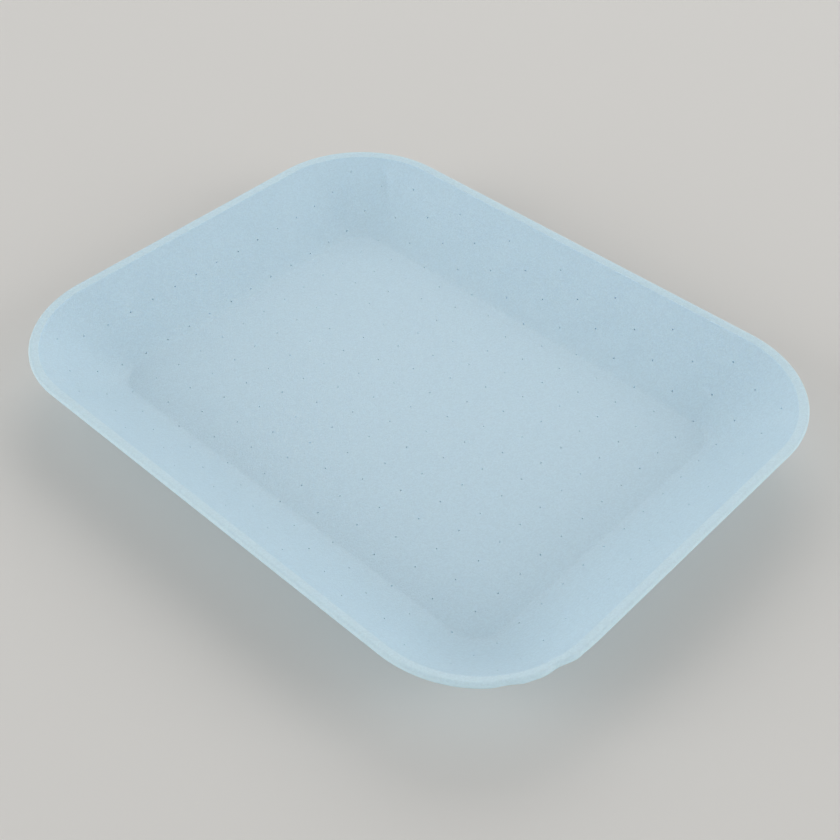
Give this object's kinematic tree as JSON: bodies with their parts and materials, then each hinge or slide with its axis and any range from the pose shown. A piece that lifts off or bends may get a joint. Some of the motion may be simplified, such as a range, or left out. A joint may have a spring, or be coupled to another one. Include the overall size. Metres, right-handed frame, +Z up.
{
  "type": "foam meat tray",
  "caption": "Shallow rectangular foam tray with round corners, sloping walls and a narrow lip, for holding wrapped meat.",
  "frame": {"origin": "middle of the flat underside, on the surface that the tray rests on", "axes": "+X along the tray's long side, +Y along its short side, +Z up out of the open top"},
  "size_m": [0.235, 0.185, 0.0245],
  "materials": {
    "foam": "satin"
  },
  "bodies": {
    "root": {"foam_tray": "foam"}
  },
  "joints": []
}
